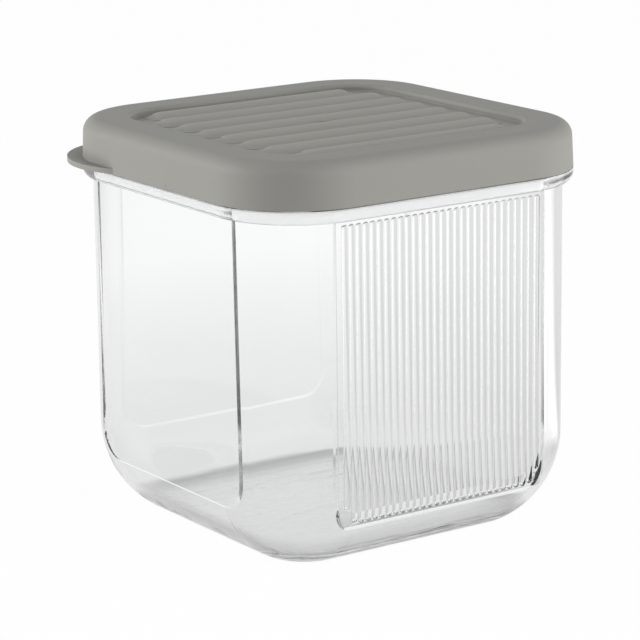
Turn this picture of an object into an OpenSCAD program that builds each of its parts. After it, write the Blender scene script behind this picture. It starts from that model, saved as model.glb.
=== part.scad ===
// Square airtight food container with a soft-cornered clear tub, a snap-down lid and a
// silicone seal. Millimetres, +Z up. The origin is in the middle of the underside, on the
// surface that the container stands on. The fluted face is the front, towards -Y.

/* [Tub] */
// Width across the flat side faces
body_w = 103; // [90:1:130]
// Height from the foot to the mouth
container_h = 103.2; // [80:0.2:150]
// Radius of the upright corners
corner_r = 26.5; // [24:0.5:30]
// How far the rounded form would swell past the flat faces at the mouth
face_crown = 0.9; // [0.6:0.05:1.6]
// How far the flat faces lean in from the mouth down to the table
face_draft = 0.35; // [0:0.05:0.5]
// Thickness of the walls
wall = 1.8; // [1.5:0.1:2.4]
// Thickness of the floor
floor_t = 2.4; // [1.8:0.1:4]

/* [Base] */
// Radius of the long rounding from the walls towards the base
base_upper_r = 27.5; // [24:0.5:30]
// Radius of the tighter rounding that ends it
base_lower_r = 10; // [6:0.5:14]
// How many degrees the long rounding turns before the tighter one takes over
base_turn = 60; // [50:1:65]
// How much tighter the roundings are inside than the outer ones less the wall
base_inner_step = 1.7; // [0:0.1:2]

/* [Flange and neck] */
// How far the flange stands out from the flat faces
flange_out = 2.5; // [1.8:0.1:3.5]
// Thickness of the flange with its rounded underside
flange_h = 3.7; // [3:0.1:5]
// Radius of the rounding under the flange
flange_round = 2.5; // [1:0.1:2.8]
// Height of the neck above the flange
neck_h = 6.5; // [5.8:0.1:8]

/* [Fluted panel] */
// Width of the panel
panel_w = 66; // [50:1:72]
// Height of the panel's lower border above the table
panel_bottom = 11.5; // [11:0.5:30]
// Radius of the panel's lower corners
panel_corner_r = 6.5; // [4:0.5:10]
// How far the panel stands out from the flat face at the mouth
panel_proud = 0.2; // [0.1:0.05:0.5]
// Height of the bevel along the panel's lower border
panel_bevel = 2.4; // [1:0.1:3]
// Distance from one flute to the next
flute_pitch = 2.18; // [2.1:0.02:3.2]
// Width of a flute
flute_w = 2; // [1.2:0.05:2.05]
// Depth of a flute
flute_depth = 0.45; // [0.2:0.05:0.7]
// Plain strip between the last flute and the panel's side
flute_side = 1.2; // [0.8:0.1:3]
// Plain strip between the flutes' ends and the panel's lower border
flute_end = 2.5; // [1.6:0.1:4]

/* [Lid] */
// Height of the lid above the lower edge of its skirt
lid_h = 12; // [11:0.5:16]
// Wall thickness of the lid
lid_wall = 1.8; // [1.4:0.1:2.2]
// How much tighter the lid's corners are than the tub's
lid_corner_step = 1.5; // [1:0.5:4]
// Radius of the rounding round the top
lid_edge_r = 4.0; // [3:0.1:5.4]
// How far the skirt leans in towards the top
lid_draft = 0.35; // [0:0.05:0.8]
// Gap between the skirt and the flange
skirt_gap = 0.3; // [0.2:0.05:0.8]

/* [Ribbed field] */
// Width of the sunken field in the top
field_w = 82; // [70:1:84]
// Corner radius of the field
field_corner_r = 13; // [10:0.5:18]
// Depth of the field
field_depth = 1.8; // [1.8:0.1:2.4]
// Radius of the soft edge where the rim rolls down into the field
field_rim_r = 1.2; // [0.6:0.1:1.2]
// Radius of the rounding at the foot of the field's wall
field_foot_r = 0.5; // [0.2:0.1:0.6]
// Distance from one rib to the next
rib_pitch = 10.1; // [10:0.1:12]
// Width of a rib where it leaves the field
rib_w = 9.7; // [9.2:0.1:9.8]
// Height of a rib
rib_h = 1.4; // [1.4:0.1:1.6]
// Small upright step round a rib's foot
rib_step = 0.08; // [0.05:0.01:0.1]
// Clear strip between the ribs' ends and the field's wall
rib_gap = 2.8; // [2:0.1:6]
// Diameter of the moulding pip in the middle
gate_d = 1.6; // [1.2:0.1:3]
// Height of the moulding pip above the field
gate_h = 0.9; // [0.4:0.1:1.2]

/* [Pull tab] */
// How far the tab's outline is shifted out of the lid's corner, each way
tab_shift = 3; // [2:0.1:4.5]
// Thickness of the tab
tab_t = 1.4; // [1:0.1:2]
// Distance from the lid's middle to where the tab's lip runs out
tab_end = 6; // [0:1:16]

/* [Plug and seal] */
// Gap between the plug and the tub's inner wall
plug_gap = 1.5; // [1.3:0.1:2]
// Thickness of the plug's wall
plug_t = 1.8; // [1.4:0.1:2.4]
// Thickness of the tongue that holds the seal
tongue_t = 1; // [0.8:0.1:1.2]
// Height of the tongue
tongue_h = 2.8; // [2:0.1:3.2]
// Height of the seal
seal_h = 3.7; // [3.5:0.1:4.6]
// Gap between the seal's core and the tub's inner wall
seal_core_gap = 0.9; // [0.6:0.1:1.2]
// Gap between the seal's fins and the tub's inner wall
fin_gap = 0.15; // [0.1:0.05:0.25]
// Thickness of a fin
fin_t = 0.6; // [0.4:0.1:0.7]
// Number of fins
fins = 3; // [2:1:3]
// Slack between the tongue and its slot
slot_slack = 0.05; // [0.05:0.05:0.1]

/* [Hidden] */
$fn = 96;
// Overshoot that keeps cuts from ending on a face
eps = 0.5;

// Half width across the flat faces, and the axis of each upright corner
face_at = body_w / 2;
corner_at = face_at + face_crown - corner_r;

flange_top = container_h - neck_h;
flange_bottom = flange_top - flange_h;
flange_fillet = min(flange_round, flange_h - 0.5);

// The lid and the flange share one outline
lid_half = face_at + flange_out;
lid_corner_r = corner_r - lid_corner_step;
lid_corner_at = lid_half - lid_corner_r;
lid_bottom = flange_top + skirt_gap;
lid_top = lid_bottom + lid_h;
lid_ceiling = lid_top - lid_wall;

field_floor = lid_top - field_depth;
field_corner_at = field_w / 2 - field_corner_r;
field_underside = field_floor - lid_wall;
// The rib's section is an S of two arcs of this radius on each side
rib_r = (pow(rib_w / 2, 2) + pow(rib_h, 2)) / (4 * rib_h);
rib_clear = 0.2;
rib_count = floor((field_w - 2 * (field_foot_r + rib_clear) - rib_w) / rib_pitch) + 1;

panel_at = face_at + panel_proud;
panel_corner_at = panel_w / 2 - panel_corner_r;
flute_r = (pow(flute_w / 2, 2) + pow(flute_depth, 2)) / (2 * flute_depth);
flute_count = floor((panel_w - 2 * flute_side - flute_w) / flute_pitch) + 1;
flute_top = flange_bottom - 0.3;
// Depth of the slab that backs the panel, enough to reach into the wall behind it
panel_slab = 5.5;
// How far the rounded base has drawn back where the panel ends, so that the bevel runs
// out into it
base_turned = base_lower_r + (base_upper_r - base_lower_r) * sin(base_turn) - panel_bottom;
panel_step = base_upper_r - sqrt(pow(base_upper_r, 2) - pow(base_turned, 2))
    + panel_proud - face_crown + 0.4;

// The seal hangs under the plug, level with the top of the flange
plug_bottom = flange_top + skirt_gap + 0.2;
seal_bottom = plug_bottom - seal_h;
fin_pitch = (seal_h - fin_t) / (fins - 0.5);

// Carries the 2D children round a square with rounded corners. Their x runs outwards
// from the corner's axis and their y is the height.
module carry_round(axis_at) {
    for (turn = [0:90:270]) {
        rotate(turn) translate([axis_at, axis_at, 0]) {
            rotate_extrude(angle = 90) children();
            rotate([90, 0, 0]) linear_extrude(2 * axis_at) children();
        }
    }
}

// A solid whose rim is carried round: the middle is filled from z0 to z1.
module filled_round(axis_at, z0, z1) {
    carry_round(axis_at) children();
    translate([-axis_at, -axis_at, z0]) cube([2 * axis_at, 2 * axis_at, z1 - z0]);
}

// The wall's line, drawn in by a given thickness: upright, then a long round that hands
// over to a tighter one, which meets the flat base at z0 without an edge.
module bowl_profile(drawn_in, z0, z1) {
    step = drawn_in > 0 ? base_inner_step : 0;
    r = corner_r - drawn_in;
    upper = base_upper_r - drawn_in - step;
    lower = base_lower_r - drawn_in - step / 2;
    lower_x = r - upper + (upper - lower) * cos(base_turn);
    lower_z = z0 + lower;
    upper_z = lower_z + (upper - lower) * sin(base_turn);
    turn_z = lower_z - lower * sin(base_turn);
    translate([0, upper_z]) square([r, z1 - upper_z]);
    intersection() {
        translate([r - upper, upper_z]) circle(upper);
        translate([0, turn_z]) square([r, upper_z - turn_z]);
    }
    intersection() {
        translate([lower_x, lower_z]) circle(lower);
        translate([0, z0]) square([r, turn_z - z0]);
    }
    translate([0, z0]) square([lower_x, turn_z - z0]);
}

// Half width between the flat faces at height z, drawn in by a given thickness.
function flat_at(z, drawn_in) =
    face_at - drawn_in - face_draft * (container_h - z) / container_h;

// A wide plate along one axis, as thick as the tub between two of its leaning flat faces.
module between_faces(drawn_in, z0, z1) {
    low = flat_at(z0, drawn_in);
    high = flat_at(z1, drawn_in);
    rotate([90, 0, 0]) linear_extrude(2 * body_w, center = true)
        polygon([[-low, z0], [low, z0], [high, z1], [-high, z1]]);
}

// The soft-cornered tub form, drawn in by a given thickness, with flat faces.
module tub_form(drawn_in, z0, z1) {
    intersection() {
        filled_round(corner_at, z0, z1) bowl_profile(drawn_in, z0, z1);
        between_faces(drawn_in, z0 - eps, z1 + eps);
        rotate(90) between_faces(drawn_in, z0 - eps, z1 + eps);
    }
}

// The tub's plan, drawn in by a given thickness: round corners cut by the flat faces.
module tub_plan(drawn_in) {
    r = corner_r - drawn_in;
    intersection() {
        union() {
            for (x = [-corner_at, corner_at], y = [-corner_at, corner_at])
                translate([x, y]) circle(r);
            square([2 * corner_at, 2 * (corner_at + r)], center = true);
            square([2 * (corner_at + r), 2 * corner_at], center = true);
        }
        square(2 * (face_at - drawn_in), center = true);
    }
}

// A band that follows the tub's plan between two distances in from its outer face.
module plan_ring(outer_in, inner_in, z0, z1) {
    translate([0, 0, z0]) linear_extrude(z1 - z0) difference() {
        tub_plan(outer_in);
        tub_plan(inner_in);
    }
}

// A plain square slab with round corners.
module slab(half, r, z0, z1) {
    filled_round(half - r, z0, z1) translate([0, z0]) square([r, z1 - z0]);
}

// The flange under the lid, with a rounded underside.
module flange() {
    filled_round(lid_corner_at, flange_bottom, flange_top) {
        translate([0, flange_bottom + flange_fillet])
            square([lid_corner_r, flange_h - flange_fillet]);
        translate([0, flange_bottom]) square([lid_corner_r - flange_fillet, flange_h]);
        intersection() {
            translate([lid_corner_r - flange_fillet, flange_bottom + flange_fillet])
                circle(flange_fillet);
            translate([0, flange_bottom]) square([lid_corner_r, flange_fillet]);
        }
    }
}

// The flat plate that carries the flutes on the front: a rounded outline seen from the
// front, cut by a side profile with a bevelled lower border.
module panel_plate() {
    intersection() {
        rotate([90, 0, 0]) linear_extrude(panel_at) {
            translate([-panel_w / 2, panel_bottom + panel_corner_r])
                square([panel_w, flange_bottom - panel_bottom - panel_corner_r + eps]);
            translate([-panel_corner_at, panel_bottom]) square([2 * panel_corner_at, panel_corner_r + eps]);
            for (x = [-panel_corner_at, panel_corner_at])
                translate([x, panel_bottom + panel_corner_r]) circle(panel_corner_r);
        }
        rotate([90, 0, 90]) linear_extrude(panel_w + 2 * eps, center = true)
            polygon([
                [-panel_at, flange_bottom + eps], [-panel_at, panel_bottom + panel_bevel],
                [panel_step - panel_at, panel_bottom], [panel_slab - panel_at, panel_bottom],
                [panel_slab - panel_at, flange_bottom + eps]
            ]);
    }
}

// Lower end of the flute at x: it follows the panel's rounded corners.
function flute_bottom(x) =
    let (past = max(0, abs(x) - panel_corner_at), r = panel_corner_r - flute_end)
    panel_bottom + panel_corner_r - sqrt(max(0, r * r - past * past));

// One flute: a shallow round groove with round ends.
module flute(x) {
    z0 = flute_bottom(x) + flute_r;
    z1 = flute_top - flute_r;
    translate([x, flute_depth - panel_at - flute_r, 0]) {
        translate([0, 0, z0]) cylinder(r = flute_r, h = z1 - z0);
        translate([0, 0, z0]) sphere(flute_r);
        translate([0, 0, z1]) sphere(flute_r);
    }
}

module container_body() {
    color([0.93, 0.95, 0.96, 0.35]) difference() {
        union() {
            tub_form(0, 0, container_h);
            flange();
            panel_plate();
        }
        tub_form(wall, floor_t, container_h + wall);
        for (i = [0:flute_count - 1]) flute((i - (flute_count - 1) / 2) * flute_pitch);
    }
}

// The lid's outer form: a slightly leaning skirt with a round top edge.
module lid_form() {
    r_top = lid_corner_r - lid_draft;
    z_edge = lid_top - lid_edge_r;
    filled_round(lid_corner_at, lid_bottom, lid_top) {
        polygon([[0, lid_bottom], [lid_corner_r, lid_bottom], [r_top, z_edge], [0, z_edge]]);
        translate([0, z_edge]) square([r_top - lid_edge_r, lid_edge_r]);
        intersection() {
            translate([r_top - lid_edge_r, z_edge]) circle(lid_edge_r);
            translate([0, z_edge]) square([r_top, lid_edge_r]);
        }
    }
}

// The hollow under the lid, with a round inner edge.
module lid_hollow() {
    r = lid_corner_r - lid_wall;
    edge = max(lid_edge_r - lid_wall, 0.5);
    z_edge = lid_ceiling - edge;
    filled_round(lid_corner_at, lid_bottom - eps, lid_ceiling) {
        translate([0, lid_bottom - eps]) square([r, z_edge - lid_bottom + eps]);
        translate([0, z_edge]) square([r - edge, edge]);
        intersection() {
            translate([r - edge, z_edge]) circle(edge);
            translate([0, z_edge]) square([r, edge]);
        }
    }
}

// The sunken field, as a cutter: it widens at the rim and narrows at its floor.
module field_cutter() {
    r = field_corner_r;
    filled_round(field_corner_at, field_floor, lid_top + eps) {
        translate([0, field_floor]) square([r - field_foot_r, field_depth + eps]);
        translate([0, field_floor + field_foot_r]) square([r, field_depth - field_foot_r + eps]);
        intersection() {
            translate([r - field_foot_r, field_floor + field_foot_r]) circle(field_foot_r);
            translate([0, field_floor]) square([r, field_foot_r]);
        }
        difference() {
            translate([r - 0.01, lid_top - field_rim_r]) square([field_rim_r, field_rim_r]);
            translate([r + field_rim_r, lid_top - field_rim_r]) circle(field_rim_r);
        }
    }
}

// Half length of a rib at y, to the middle of its round end: the outer ribs stop where
// the field's rounded corner comes near.
function rib_reach(y) =
    let (
        straight = (field_w - rib_w) / 2 - rib_gap,
        past = max(0, abs(y) - field_corner_at),
        room = field_corner_r - field_foot_r - rib_clear - rib_w / 2,
        in_corner = field_corner_at + sqrt(max(0, room * room - past * past))
    )
    past > 0 ? min(straight, in_corner) : straight;

// Right half of a rib's section: a round crest that turns over into a hollow foot.
module rib_half() {
    intersection() {
        translate([0, rib_h - rib_r]) circle(rib_r);
        square([rib_w / 4, rib_h]);
    }
    difference() {
        translate([rib_w / 4, 0]) square([rib_w / 4, rib_h / 2]);
        translate([rib_w / 2, rib_r]) circle(rib_r);
    }
    translate([0, -rib_step - lid_wall / 2]) square([rib_w / 2, rib_step + lid_wall / 2]);
}

// The raised ribs in the field, each a long swell with round ends.
module ribs() {
    for (i = [0:rib_count - 1]) {
        y = (i - (rib_count - 1) / 2) * rib_pitch;
        reach = rib_reach(y);
        translate([0, y, field_floor + rib_step]) {
            rotate([90, 0, 90]) linear_extrude(2 * reach, center = true) {
                rib_half();
                mirror([1, 0]) rib_half();
            }
            translate([reach, 0, 0]) rotate(-90) rotate_extrude(angle = 180) rib_half();
            translate([-reach, 0, 0]) rotate(90) rotate_extrude(angle = 180) rib_half();
        }
    }
}

// Point where a line from p touches a circle at centre c, on its left (side 1) or right.
function touch(p, c, r, side) =
    let (
        d = norm(c - p),
        toward = atan2(p[1] - c[1], p[0] - c[0]),
        swing = acos(r / d)
    )
    c + r * [cos(toward + side * swing), sin(toward + side * swing)];

// The pull tab: the lid's corner outline shifted out along the diagonal, with a lip that
// runs back to the skirt on both sides.
module pull_tab() {
    centre = [-lid_corner_at - tab_shift, lid_corner_at + tab_shift];
    side_end = [-lid_half, -tab_end];
    back_end = [tab_end, lid_half];
    translate([0, 0, lid_bottom]) linear_extrude(tab_t) {
        translate(centre) circle(lid_corner_r);
        polygon([
            side_end, touch(side_end, centre, lid_corner_r, 1), centre,
            touch(back_end, centre, lid_corner_r, -1), back_end, [0, 0]
        ]);
    }
}

module lid() {
    color([0.62, 0.61, 0.58]) {
        difference() {
            union() {
                difference() {
                    union() {
                        lid_form();
                        pull_tab();
                    }
                    lid_hollow();
                }
                slab(field_w / 2 + lid_wall, field_corner_r + lid_wall, field_underside, lid_ceiling + 0.2);
            }
            field_cutter();
        }
        ribs();
        translate([0, 0, field_floor - lid_wall / 2]) cylinder(d = gate_d, h = lid_wall / 2 + gate_h);
        plan_ring(wall + plug_gap, wall + plug_gap + plug_t, plug_bottom, lid_ceiling + lid_wall / 2);
        plan_ring(tongue_in, tongue_in + tongue_t, plug_bottom - tongue_h, plug_bottom + 0.2);
    }
}

// Distance in from the tub's outer face to the tongue's outer side.
tongue_in = wall + plug_gap + (plug_t - tongue_t) / 2;

module seal_ring() {
    color([0.94, 0.94, 0.93, 0.6]) difference() {
        union() {
            plan_ring(wall + seal_core_gap, wall + plug_gap + plug_t + 0.6, seal_bottom, plug_bottom);
            for (i = [0:fins - 1])
                plan_ring(wall + fin_gap, wall + seal_core_gap + 0.3, seal_bottom + 0.4 + i * fin_pitch,
                    seal_bottom + 0.4 + i * fin_pitch + fin_t);
        }
        plan_ring(tongue_in - slot_slack, tongue_in + tongue_t + slot_slack,
            plug_bottom - tongue_h - slot_slack, plug_bottom + eps);
    }
}

container_body();
lid();
seal_ring();
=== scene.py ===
# %% [markdown]
# # A clear airtight food container
#
# The object is a square kitchen canister: a clear plastic tub with big soft corners and a
# fluted front, a matte grey lid with a sunken ribbed top and a pull tab, and a silicone
# seal that shows as a pale band through the wall. Its solids come finished from the CAD
# model. This lesson dresses them: it builds three moulded-plastic finishes out of nodes,
# lights them as a small product studio would, and looks at them with the photograph's lens.

# %% The CAD model as a fixed frame
import math

import bpy
from mathutils import Matrix, Vector


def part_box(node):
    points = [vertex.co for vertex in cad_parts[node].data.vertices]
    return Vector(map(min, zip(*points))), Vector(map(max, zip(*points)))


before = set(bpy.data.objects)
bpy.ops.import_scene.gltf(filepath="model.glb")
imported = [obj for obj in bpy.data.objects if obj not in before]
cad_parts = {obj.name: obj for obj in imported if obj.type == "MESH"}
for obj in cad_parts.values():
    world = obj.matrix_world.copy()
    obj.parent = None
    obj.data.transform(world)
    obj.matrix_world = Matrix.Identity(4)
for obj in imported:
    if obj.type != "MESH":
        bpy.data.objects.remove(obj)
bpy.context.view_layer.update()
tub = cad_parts["container_body"]
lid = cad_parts["lid"]
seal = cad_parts["seal_ring"]
for piece in (tub, lid, seal):
    low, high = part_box(piece.name)
    print(piece.name, "spans", [round(1000 * (b - a), 1) for a, b in zip(low, high)], "mm")

# %% [markdown]
# ## The camera
#
# The photograph was taken with a long lens from a little above the lid, looking at the
# tub's front left corner. A camera could be placed by eye, but a match is easier to keep
# when it is written as the few numbers that a photographer would give: the direction it
# stands in, its height angle, its distance, a slight roll, and the lens. The object sits
# low in the frame, so the camera is also moved a little within its own picture plane,
# which is gentler than a lens shift because it keeps working from other sides.

# %% The photographer's numbers
AZIMUTH, ELEVATION, ROLL = (math.radians(a) for a in (-34.57, 13.90, -0.75))
LOOKED_AT = Vector((0, 0, 0.097))  # the middle of the lid's lower edge
DISTANCE = 0.787
SLIDE_RIGHT, SLIDE_UP = -0.00152, -0.04235
LENS_MM, SENSOR_MM = 166.0, 36
NEAREST_SEEN, FARTHEST_SEEN = 0.01, 50

back = Vector((
    math.sin(AZIMUTH) * math.cos(ELEVATION),
    -math.cos(AZIMUTH) * math.cos(ELEVATION),
    math.sin(ELEVATION),
))
level_right = Vector((math.cos(AZIMUTH), math.sin(AZIMUTH), 0))
level_up = back.cross(level_right)
right = math.cos(ROLL) * level_right + math.sin(ROLL) * level_up
up = -math.sin(ROLL) * level_right + math.cos(ROLL) * level_up
place = LOOKED_AT + DISTANCE * back + SLIDE_RIGHT * right + SLIDE_UP * up
turned = Matrix((right, up, back)).transposed().to_4x4()

camera = bpy.data.objects.new("studio_camera", bpy.data.cameras.new("studio_camera"))
camera.data.sensor_width, camera.data.lens = SENSOR_MM, LENS_MM
camera.data.clip_start, camera.data.clip_end = NEAREST_SEEN, FARTHEST_SEEN
camera.matrix_world = Matrix.Translation(place) @ turned
bpy.context.scene.collection.objects.link(camera)
bpy.context.scene.camera = camera
print("camera at", [round(c, 3) for c in place])

# %% [markdown]
# ## Writing shader nodes as sums
#
# A finish is a small network of nodes. Placing and wiring them one by one hides the idea,
# so a `Value` wraps one socket and lets Python's own operators add the Math nodes:
# `0.3 + 0.1 * cloud` reads as what it does. Everything that isn't arithmetic on numbers,
# such as a noise, a colour mix or the shader itself, comes from one method, `Finish.node`,
# which takes the node's type, its settings and what goes into its sockets.

# %% A socket that can be added and multiplied
class Value:
    """A number, colour or direction on its way through a finish's nodes."""

    def __init__(self, finish, socket):
        self.finish, self.socket = finish, socket

    def maths(self, operation, first, second=0):
        return self.finish.node("ShaderNodeMath", {"operation": operation}, {0: first, 1: second})

    def __add__(self, other):
        return self.maths("ADD", self, other)

    __radd__ = __add__

    def __mul__(self, other):
        return self.maths("MULTIPLY", self, other)

    __rmul__ = __mul__

    def __sub__(self, other):
        return self.maths("SUBTRACT", self, other)

    def __rsub__(self, other):
        return self.maths("SUBTRACT", other, self)

    def __pow__(self, power):
        return self.maths("POWER", self, power)

    def __abs__(self):
        return self.maths("ABSOLUTE", self)

    def __or__(self, other):
        """The larger of the two, which for masks is one or the other."""
        return self.maths("MAXIMUM", self, other)

    __ror__ = __or__


# %% A finish and its one way to add a node
class Finish:
    """A node tree, for a material or for the world."""

    def __init__(self, owner):
        owner.use_nodes = True
        self.owner, self.tree = owner, owner.node_tree
        self.tree.nodes.clear()

    def node(self, kind, settings=None, sockets=None, out=0):
        """A new node with its settings and inputs. The result is its output called out."""
        made = self.tree.nodes.new(kind)
        for name, setting in (settings or {}).items():
            if name == "stops":
                ramp = made.color_ramp
                while len(ramp.elements) < len(setting):
                    ramp.elements.new(0.5)
                for element, (where, colour) in zip(ramp.elements, setting):
                    element.position, element.color = where, colour
            else:
                setattr(made, name, setting)
        for name, value in (sockets or {}).items():
            if isinstance(value, Value):
                self.tree.links.new(value.socket, made.inputs[name])
            else:
                made.inputs[name].default_value = value
        return Value(self, made.outputs[out]) if len(made.outputs) else made


def new_finish(name):
    return Finish(bpy.data.materials.new(name))


def cover(piece, finish, shader):
    """Ends a finish in its shader, and puts it on a piece in place of what the piece wore."""
    finish.node("ShaderNodeOutputMaterial", sockets={"Surface": shader})
    piece.data.materials.clear()
    piece.data.materials.append(finish.owner)
    print(piece.name, "wears", finish.owner.name, "made of", len(finish.tree.nodes), "nodes")


# %% Steps used again and again
BLACK, WHITE = (0, 0, 0, 1), (1, 1, 1, 1)


def smooth(value, start, end, high=1.0):
    """0 where value is at start, high where it is at end, with a soft change between."""
    return value.finish.node("ShaderNodeMapRange", {"interpolation_type": "SMOOTHSTEP"}, {
        "Value": value, "From Min": start, "From Max": end, "To Min": 0.0, "To Max": high,
    })


def blend(factor, first, second):
    """A colour between two colours."""
    return factor.finish.node("ShaderNodeMix", {"data_type": "RGBA"}, {
        "Factor": factor, "A": first, "B": second,
    }, out="Result")


def coordinates(finish, kind="Object"):
    return finish.node("ShaderNodeTexCoord", out=kind)


def along(vector):
    """The three parts of a vector, each as a number."""
    split = vector.finish.node("ShaderNodeSeparateXYZ", sockets={0: vector})
    return [Value(vector.finish, part) for part in split.socket.node.outputs]


def from_axis(x, y):
    """How far out a point is, counted in rounded squares like the tub's own plan."""
    return (x ** 4 + y ** 4) ** 0.25


def bearing(x, y):
    """The level direction in which a point lies, in radians from +X towards +Y."""
    return y.maths("ARCTAN2", y, x)


# %% [markdown]
# ## Where a pattern sits
#
# Grain and flow marks must stay on the plastic when the lid is lifted, and must be given
# in real sizes. Object coordinates do both: they are metres, and they move with the
# piece. A noise of scale 1000 then has features about a millimetre across.

# %% Noise in millimetres
def grain(finish, size_mm, detail=2.0, stretch=(1, 1, 1)):
    """A cloudy 0 to 1 pattern of features about size_mm across, times stretch on each axis."""
    where = coordinates(finish)
    if stretch != (1, 1, 1):
        where = finish.node("ShaderNodeMapping", sockets={
            "Vector": where, "Scale": tuple(1 / s for s in stretch),
        })
    return finish.node("ShaderNodeTexNoise", sockets={
        "Vector": where, "Scale": 1000 / size_mm, "Detail": detail,
    })


# %% [markdown]
# ## The clear tub
#
# The tub is injection moulded in a clear, stiff plastic. It is not quite perfect: the
# melt leaves faint, long waves in the wall and streaks where it flowed over the floor,
# and the polish is a touch uneven. A Principled shader with full transmission bends the
# light as the real wall does, so the creases and flutes draw their own dark lines. A mix
# with plain transparency would be quicker, but would lose exactly those lines.

# %% Clear plastic
ABOVE_FLOOR, ON_FLOOR = 0.010, 0.004  # heights between which the floor's streaks fade in
WAVE_DEPTH = 0.0006

clear = new_finish("clear_plastic")
wave = grain(clear, size_mm=38, detail=1.0, stretch=(1, 1, 2.2))
polish = grain(clear, size_mm=6, detail=3.0)
flow = grain(clear, size_mm=26, detail=2.5, stretch=(2.4, 0.55, 1))
_, _, height = along(coordinates(clear))
waviness = 0.1 * wave + flow * smooth(height, ABOVE_FLOOR, ON_FLOOR)
clear_shader = clear.node("ShaderNodeBsdfPrincipled", sockets={
    "Base Color": (0.993, 0.996, 0.997, 1),
    "Roughness": 0.012 + 0.03 * polish,
    "IOR": 1.5,
    "Transmission Weight": 1.0,
    "Normal": clear.node("ShaderNodeBump", sockets={
        "Strength": 1.0, "Distance": WAVE_DEPTH, "Height": waviness,
    }),
})
cover(tub, clear, clear_shader)

# %% [markdown]
# ## The grey lid
#
# The lid is an opaque, warm grey polypropylene with a fine spark-eroded grain, which
# spreads every highlight into a soft sheen. The grain is about a quarter of a millimetre,
# far too small for geometry, so it is a bump. The colour drifts by a per cent or two and
# the sheen is slightly uneven, as on any moulding that has been handled. The rib crests
# get painted light: found by height, their colour is a shade lighter. The grooves between
# them get painted shade: their colour is darker where ambient occlusion finds them, which
# a mask drawn by position could do only rib by rib.

# %% Matte grey plastic
DARKER_GREY, LIGHTER_GREY = (0.324, 0.320, 0.297, 1), (0.342, 0.338, 0.314, 1)
# painted light on the rib crests, and painted shade in the grooves between them
CREST_LIGHT_GREY, GROOVE_SHADE_GREY = (0.412, 0.407, 0.378, 1), (0.19, 0.187, 0.172, 1)
FIELD_EDGE, FIELD_INSIDE = 0.0425, 0.0400  # half the width of the sunken field
RIB_FLANK, RIB_CREST = 0.1063, 0.1086  # heights
GROOVE_REACH = 0.0035  # how near a rib must be to shade a groove
HIDDEN_SKY = (1.0, 0.75)  # the open share of the sky, in the flat and deep in a groove
GROOVE_SHADE_SHARE = 0.4  # how much of the painted groove shade is mixed in there
GRAIN_DEPTH = 0.00003

matte = new_finish("lid_plastic")
drift = grain(matte, size_mm=24, detail=3.0)
fine = grain(matte, size_mm=0.28)
tone = blend(drift, DARKER_GREY, LIGHTER_GREY)

across, deep, height = along(coordinates(matte))
in_field = smooth(from_axis(across, deep), FIELD_EDGE, FIELD_INSIDE)
# painted light: the rib crests inside the sunken field are coloured a shade lighter
tone = blend(in_field * smooth(height, RIB_FLANK, RIB_CREST), tone, CREST_LIGHT_GREY)

open_sky = matte.node("ShaderNodeAmbientOcclusion", {"samples": 8, "only_local": True}, {
    "Distance": GROOVE_REACH,
}, out="AO")
# painted shade: the grooves are coloured darker where ambient occlusion sees little sky
tone = blend(smooth(open_sky, *HIDDEN_SKY, high=GROOVE_SHADE_SHARE), tone, GROOVE_SHADE_GREY)
matte_shader = matte.node("ShaderNodeBsdfPrincipled", sockets={
    "Base Color": tone,
    "Roughness": 0.5 + 0.08 * fine + 0.05 * drift,
    "IOR": 1.49,
    "Specular IOR Level": 0.2,
    "Normal": matte.node("ShaderNodeBump", sockets={
        "Strength": 0.35, "Distance": GRAIN_DEPTH, "Height": fine,
    }),
})
cover(lid, matte, matte_shader)

# %% [markdown]
# ## The silicone seal
#
# Silicone is milky and lets much of the light through: behind the tub's wall it is seen
# as a pale band with fine level lines, one for each gap between its fins. Light that
# enters its outer side wanders about inside and comes out again, so the seal looks
# brighter than a painted surface in the same half-shade. True scattering would be slow
# here, between two clear walls. A faint glow on the sides that face outward, and none on
# the level sides of the fins, comes close to that look and costs nothing.

# %% Milky silicone
MILK, MILK_CLOUD = (0.93, 0.93, 0.93, 1), (0.98, 0.98, 0.98, 1)
GLOW_TINT, GLOW_STRENGTH = (0.99, 1, 1, 1), 0.32

milky = new_finish("silicone")
cloud = grain(milky, size_mm=3.0)
_, _, facing_up = along(coordinates(milky, "Normal"))
faces_outward = smooth(abs(facing_up), 0.75, 0.2)
milky_shader = milky.node("ShaderNodeBsdfPrincipled", sockets={
    "Base Color": blend(cloud, MILK, MILK_CLOUD),
    "Roughness": 0.30 + 0.1 * cloud,
    "IOR": 1.41,
    "Transmission Weight": 0.2,
    "Emission Color": blend(faces_outward, BLACK, GLOW_TINT),
    "Emission Strength": GLOW_STRENGTH,
})
cover(seal, milky, milky_shader)

# %% [markdown]
# ## The floor
#
# A product cut-out stands on white. The floor is one big pale sheet. Lit by the lamps
# alone it would come out light grey, so what is seen of it is mostly a white glow that
# Light Path switches on: nearly all of it for rays straight from the camera, all of it
# for rays that came through the clear walls, and over half for reflections. Light that
# falls on the object sees only the plain sheet, so the glow brightens nothing.
#
# What is seen through the tub is what gives clear plastic its drawing, so the glow
# behind the walls is shaped, as a photographer shapes it with a white card: full white
# far behind the tub, softer near it, darkest in the shade under its rounded lower edge,
# and grey beyond the card's two sides. A flat wall shows the card, and each flute bends
# the view past the card's edge and so shows a grey stripe. Reflections see one bright
# strip on the right, which puts a highlight on every flute. An even white floor would
# have been simpler, but the flutes all but vanish in front of it.

# %% A pale sheet under the tub
HALF_SHEET = 6.0
HAIR = 0.00005  # below the tub's underside, so that the two faces never coincide

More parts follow.
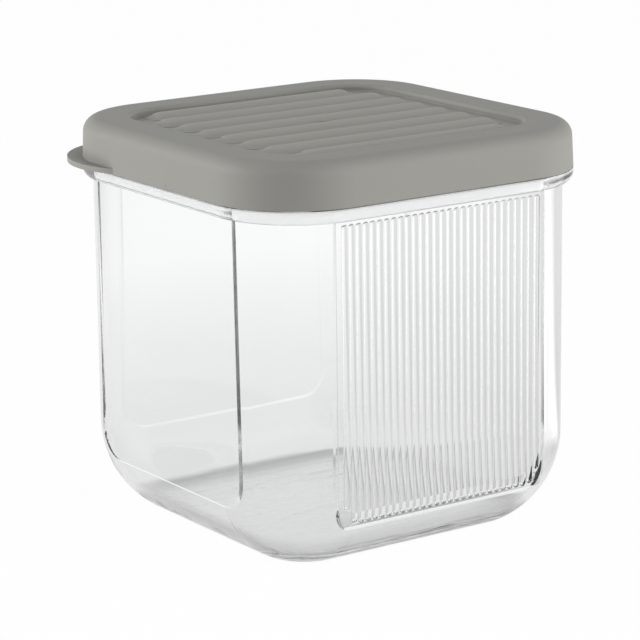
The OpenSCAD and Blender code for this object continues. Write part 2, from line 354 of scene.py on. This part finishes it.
floor_mesh = bpy.data.meshes.new("floor")
corners = [(x * HALF_SHEET, y * HALF_SHEET, 0) for x, y in ((-1, -1), (1, -1), (1, 1), (-1, 1))]
floor_mesh.from_pydata(corners, [], [(0, 1, 2, 3)])
floor = bpy.data.objects.new("floor", floor_mesh)
floor.location.z = -HAIR
bpy.context.scene.collection.objects.link(floor)
print("the floor is", 2 * HALF_SHEET, "m wide")


# %% Two ways to shape a glow
def seen(finish, straight, through, mirrored):
    """What is seen straight from the camera, through clear walls, and in reflections."""
    # A refracted ray counts as a glossy one too, so mirrors are the glossy rays without it.
    from_camera, behind_glass, glossy = (
        finish.node("ShaderNodeLightPath", out=ray)
        for ray in ("Is Camera Ray", "Is Transmission Ray", "Is Glossy Ray")
    )
    reflected = mirrored * glossy * (1 - behind_glass)
    return straight * from_camera | through * behind_glass | reflected


def greys(value, span, stops):
    """A grey for each value up to half a span from 0, between the stops (value, grey)."""
    ramp = [(0.5 + at / span, (grey, grey, grey, 1)) for at, grey in stops]
    return value.finish.node("ShaderNodeValToRGB", {"stops": ramp}, {0: 0.5 + value * (1 / span)})


# %% A white floor that keeps its shadow
# Each stop is a distance in metres and the grey that is seen there through the walls.
SHADE = [(0.030, 0.58), (0.046, 0.37), (0.050, 0.80), (0.10, 0.80), (0.30, 1.0)]
CARD = [(-0.16, 0.80), (-0.11, 0.96), (-0.07, 1.0), (0.064, 1.0), (0.100, 0.74)]
STRIP_NEAR_END, STRIP_FAR_END = (-52, -38), (0, -15)  # bearings in degrees, faint and then bright
STRIP_START = (0.09, 0.15)  # metres from the middle, faint and then bright
STRIP_GAIN = 5.0

paper = new_finish("white_floor")
spot = coordinates(paper)
spot_x, spot_y, _ = along(spot)
from_middle = from_axis(spot_x, spot_y)
shade = greys(from_middle, 0.8, SHADE)

off_axis = paper.node("ShaderNodeVectorMath", {"operation": "DOT_PRODUCT"}, {
    0: spot, 1: tuple(level_right),
}, out="Value")
card = greys(off_axis, 0.4, CARD)

spot_bearing = bearing(spot_x, spot_y)
strip = (
    smooth(spot_bearing, *(math.radians(a) for a in STRIP_NEAR_END))
    * smooth(spot_bearing, *(math.radians(a) for a in STRIP_FAR_END))
    * smooth(from_middle, *STRIP_START)
)
lit = paper.node("ShaderNodeBsdfDiffuse", sockets={"Color": (0.9, 0.9, 0.9, 1)})
brightness = seen(paper, straight=1.0, through=shade * card, mirrored=1.0 + STRIP_GAIN * strip)
glow = paper.node("ShaderNodeEmission", sockets={"Color": WHITE, "Strength": brightness})
glow_share = seen(paper, straight=0.98, through=1.0, mirrored=0.6)
cover(floor, paper, paper.node("ShaderNodeMixShader", sockets={0: glow_share, 1: lit, 2: glow}))

# %% [markdown]
# ## The studio
#
# Clear plastic looks like whatever is behind it, and its edges like whatever is beside
# it. So the world is white where it is seen directly, a ring of four soft white panels
# where it is seen through the walls, and a calm grey for the light it throws. Two large
# low softboxes stand left and right of the camera: they light the two visible sides of
# the skirt, and leave the corner that faces the camera darker, which is what gives the
# lid its form. The left one stands a little higher and skims over the sunken field, and
# a small weak one high in front lifts the near slopes of the ribs. No lamp is seen
# through clear plastic, because a lamp behind two walls draws a hard bright band.

# %% The world
AMBIENT = 0.27
PANELS = 4

world = Finish(bpy.data.worlds.new("studio"))
bpy.context.scene.world = world.owner
sky_x, sky_y, _ = along(coordinates(world, "Generated"))
from_view = bearing(sky_x, sky_y) - math.atan2(-back.y, -back.x)
panels = 0.75 + 0.25 * from_view.maths("COSINE", PANELS * from_view)
brightness = AMBIENT | seen(world, straight=1.0, through=panels, mirrored=0.8)
world.node("ShaderNodeOutputWorld", sockets={
    "Surface": world.node("ShaderNodeBackground", sockets={
        "Color": WHITE, "Strength": brightness,
    }),
})
print("the world is made of", len(world.tree.nodes), "nodes")

# %% The softboxes
AIMED_AT = Vector((0, 0, 0.06))
LAMP_DISTANCE = 1.3


def softbox(name, toward, height_deg, size, share):
    """An area lamp that stands toward a level direction, at a height angle.

    A surface that faces it renders at share of its own colour: an area lamp of P watts
    gives a white surface at distance d a radiance of P / (pi * d) ** 2.
    """
    angle = math.radians(height_deg)
    level = Vector((toward[0], toward[1], 0)).normalized()
    direction = level * math.cos(angle) + Vector((0, 0, math.sin(angle)))
    lamp = bpy.data.objects.new(name, bpy.data.lights.new(name, "AREA"))
    lamp.data.shape = "RECTANGLE"
    lamp.data.size, lamp.data.size_y = size
    lamp.data.energy = share * math.pi**2 * LAMP_DISTANCE**2
    lamp.location = AIMED_AT + direction * LAMP_DISTANCE
    lamp.rotation_euler = direction.to_track_quat("Z", "Y").to_euler()
    lamp.visible_transmission = False
    bpy.context.scene.collection.objects.link(lamp)
    print(name, "at", [round(c, 2) for c in lamp.location], round(lamp.data.energy, 1), "W")


softbox("softbox_left", toward=(-0.82, 0.57), height_deg=15, size=(0.8, 0.7), share=0.73)
softbox("softbox_right", toward=(0.66, -0.75), height_deg=6, size=(0.8, 0.7), share=0.58)
softbox("softbox_high", toward=(0.1, -1), height_deg=42, size=(0.5, 0.5), share=0.22)

# %% [markdown]
# ## Enough bounces for a double wall
#
# A ray that enters the rounded corner of a clear wall can run along inside it, as in a
# light guide, before it gets out. Where the renderer gives up on such a ray, it paints
# black. The fewer bounces it may make, the more of the edges go dark. With over a hundred
# even the crease down the left face turns pale, and in the photograph that is a dark line.
# Forty keep the line, and leave only a few dark strokes that the photograph doesn't have.

# %% Longer light paths
LONGEST_PATH = 40

paths = bpy.context.scene.cycles
paths.max_bounces = paths.transmission_bounces = paths.glossy_bounces = LONGEST_PATH
print("light paths of up to", paths.max_bounces, "bounces")

# %% The end: the colour transform
bpy.context.scene.view_settings.view_transform = "Standard"
